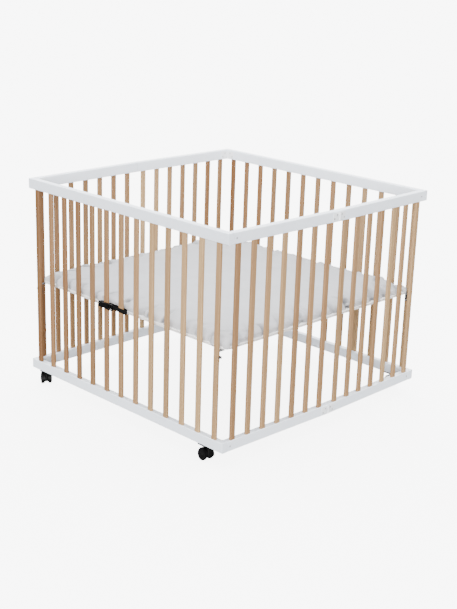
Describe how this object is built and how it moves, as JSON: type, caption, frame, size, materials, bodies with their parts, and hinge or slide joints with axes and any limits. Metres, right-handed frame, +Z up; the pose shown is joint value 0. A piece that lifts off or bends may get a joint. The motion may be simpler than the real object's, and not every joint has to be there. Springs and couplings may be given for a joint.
{
  "type": "playpen",
  "caption": "Square folding wooden playpen with slatted sides, white rails, a padded lift-out base and swivelling twin-wheel casters.",
  "frame": {"origin": "on the floor, under the centre of the playpen", "axes": "+Z up, +X along the two rigid sides, +Y from the front rigid side to the back one"},
  "size_m": [1.0332, 1.0114, 0.764],
  "materials": {
    "white_rails": "satin white lacquer over solid wood, faint orange peel",
    "beech_slats": "natural beech, clear matt varnish, tone varies from slat to slat",
    "white_hinges": "white powder coat, semi-gloss",
    "steel_fixings": "zinc plated, satin",
    "bracket_steel": "dark painted steel, satin",
    "base_board": "white-faced fibreboard, matt",
    "beech_battens": "natural beech, matt",
    "mattress_fabric": "fine plain-weave cotton blend, pale grey, matt",
    "black_webbing": "woven polypropylene webbing, matt",
    "black_buckle": "moulded acetal, semi-gloss",
    "caster_wheels": "moulded nylon, satin",
    "caster_plastic": "moulded nylon, satin"
  },
  "bodies": {
    "front_side": {"front_top_rail": "white_rails", "front_bottom_rail": "white_rails", "front_rail_caps": "white_rails", "front_slats": "beech_slats", "front_hinge_leaves": "white_hinges", "front_hinge_pins": "steel_fixings", "front_screws": "steel_fixings", "front_base_brackets": "bracket_steel", "closing_strap": "black_webbing", "buckle_socket": "black_buckle", "front_caster_plates": "caster_plastic"},
    "right_front_half": {"right_front_top_rail": "white_rails", "right_front_bottom_rail": "white_rails", "right_front_slats": "beech_slats", "right_front_hinge_leaves": "white_hinges", "right_front_screws": "steel_fixings", "right_mid_hinge_pins": "steel_fixings"},
    "right_back_half": {"right_back_top_rail": "white_rails", "right_back_bottom_rail": "white_rails", "right_back_slats": "beech_slats", "right_back_hinge_leaves": "white_hinges", "right_back_screws": "steel_fixings"},
    "back_side": {"back_top_rail": "white_rails", "back_bottom_rail": "white_rails", "back_rail_caps": "white_rails", "back_slats": "beech_slats", "back_hinge_leaves": "white_hinges", "back_hinge_pins": "steel_fixings", "back_screws": "steel_fixings", "back_base_brackets": "bracket_steel", "back_caster_plates": "caster_plastic"},
    "left_front_half": {"left_front_top_rail": "white_rails", "left_front_bottom_rail": "white_rails", "left_front_slats": "beech_slats", "left_front_hinge_leaves": "white_hinges", "left_front_screws": "steel_fixings", "left_mid_hinge_pins": "steel_fixings"},
    "left_back_half": {"left_back_top_rail": "white_rails", "left_back_bottom_rail": "white_rails", "left_back_slats": "beech_slats", "left_back_hinge_leaves": "white_hinges", "left_back_screws": "steel_fixings"},
    "base": {"base_board": "base_board", "base_battens": "beech_battens", "mattress": "mattress_fabric"},
    "buckle": {"buckle_plug": "black_buckle"},
    "front_right_caster": {"front_right_caster_fork": "caster_plastic", "front_right_caster_axle": "caster_plastic"},
    "front_right_wheels": {"front_right_caster_wheels": "caster_wheels"},
    "front_left_caster": {"front_left_caster_fork": "caster_plastic", "front_left_caster_axle": "caster_plastic"},
    "front_left_wheels": {"front_left_caster_wheels": "caster_wheels"},
    "back_left_caster": {"back_left_caster_fork": "caster_plastic", "back_left_caster_axle": "caster_plastic"},
    "back_left_wheels": {"back_left_caster_wheels": "caster_wheels"},
    "back_right_caster": {"back_right_caster_fork": "caster_plastic", "back_right_caster_axle": "caster_plastic"},
    "back_right_wheels": {"back_right_caster_wheels": "caster_wheels"}
  },
  "joints": [
    {"name": "fold", "type": "hinge", "parent": "front_side", "child": "right_front_half", "pos_m": [0.474, -0.4695, 0.4], "axis": [0, 0, 1], "range_deg": [0, 91.25], "deforming": ["base_board", "base_battens", "mattress"]},
    {"name": "right_mid_hinge", "type": "hinge", "parent": "right_front_half", "child": "right_back_half", "pos_m": [0.51355, 0, 0.4], "axis": [0, 0, 1], "range_deg": [-182.5, 0]},
    {"name": "right_back_corner", "type": "hinge", "parent": "right_back_half", "child": "back_side", "pos_m": [0.474, 0.4695, 0.4], "axis": [0, 0, 1], "range_deg": [0, 91.25]},
    {"name": "left_front_corner", "type": "hinge", "parent": "front_side", "child": "left_front_half", "pos_m": [-0.474, -0.4695, 0.4], "axis": [0, 0, 1], "range_deg": [-91.25, 0]},
    {"name": "left_mid_hinge", "type": "hinge", "parent": "left_front_half", "child": "left_back_half", "pos_m": [-0.51355, 0, 0.4], "axis": [0, 0, 1], "range_deg": [0, 182.5]},
    {"name": "base_lift", "type": "slide", "parent": "front_side", "child": "base", "axis": [0, 0, 1], "range_m": [0, 0.42]},
    {"name": "buckle_release", "type": "slide", "parent": "front_side", "child": "buckle", "axis": [1, 0, 0], "range_m": [0, 0.022]},
    {"name": "front_right_swivel", "type": "hinge", "parent": "front_side", "child": "front_right_caster", "pos_m": [0.43, -0.4845, 0.04], "axis": [0, 0, 1], "continuous": true},
    {"name": "front_right_roll", "type": "hinge", "parent": "front_right_caster", "child": "front_right_wheels", "pos_m": [0.41222, -0.48168, 0.02], "axis": [-0.1564, -0.9877, 0], "continuous": true},
    {"name": "front_left_swivel", "type": "hinge", "parent": "front_side", "child": "front_left_caster", "pos_m": [-0.43, -0.4845, 0.04], "axis": [0, 0, 1], "continuous": true},
    {"name": "front_left_roll", "type": "hinge", "parent": "front_left_caster", "child": "front_left_wheels", "pos_m": [-0.44559, -0.4755, 0.02], "axis": [-0.5, -0.866, 0], "continuous": true},
    {"name": "back_left_swivel", "type": "hinge", "parent": "back_side", "child": "back_left_caster", "pos_m": [-0.43, 0.4845, 0.04], "axis": [0, 0, 1], "continuous": true},
    {"name": "back_left_roll", "type": "hinge", "parent": "back_left_caster", "child": "back_left_wheels", "pos_m": [-0.44559, 0.4755, 0.02], "axis": [0.5, -0.866, 0], "continuous": true},
    {"name": "back_right_swivel", "type": "hinge", "parent": "back_side", "child": "back_right_caster", "pos_m": [0.43, 0.4845, 0.04], "axis": [0, 0, 1], "continuous": true},
    {"name": "back_right_roll", "type": "hinge", "parent": "back_right_caster", "child": "back_right_wheels", "pos_m": [0.41207, 0.48607, 0.02], "axis": [-0.0872, -0.9962, 0], "continuous": true}
  ],
  "couplings": [
    {"joint": "right_mid_hinge", "follows": "fold", "ratio": -2},
    {"joint": "right_back_corner", "follows": "fold", "ratio": 1},
    {"joint": "left_front_corner", "follows": "fold", "ratio": -1},
    {"joint": "left_mid_hinge", "follows": "fold", "ratio": 2}
  ]
}
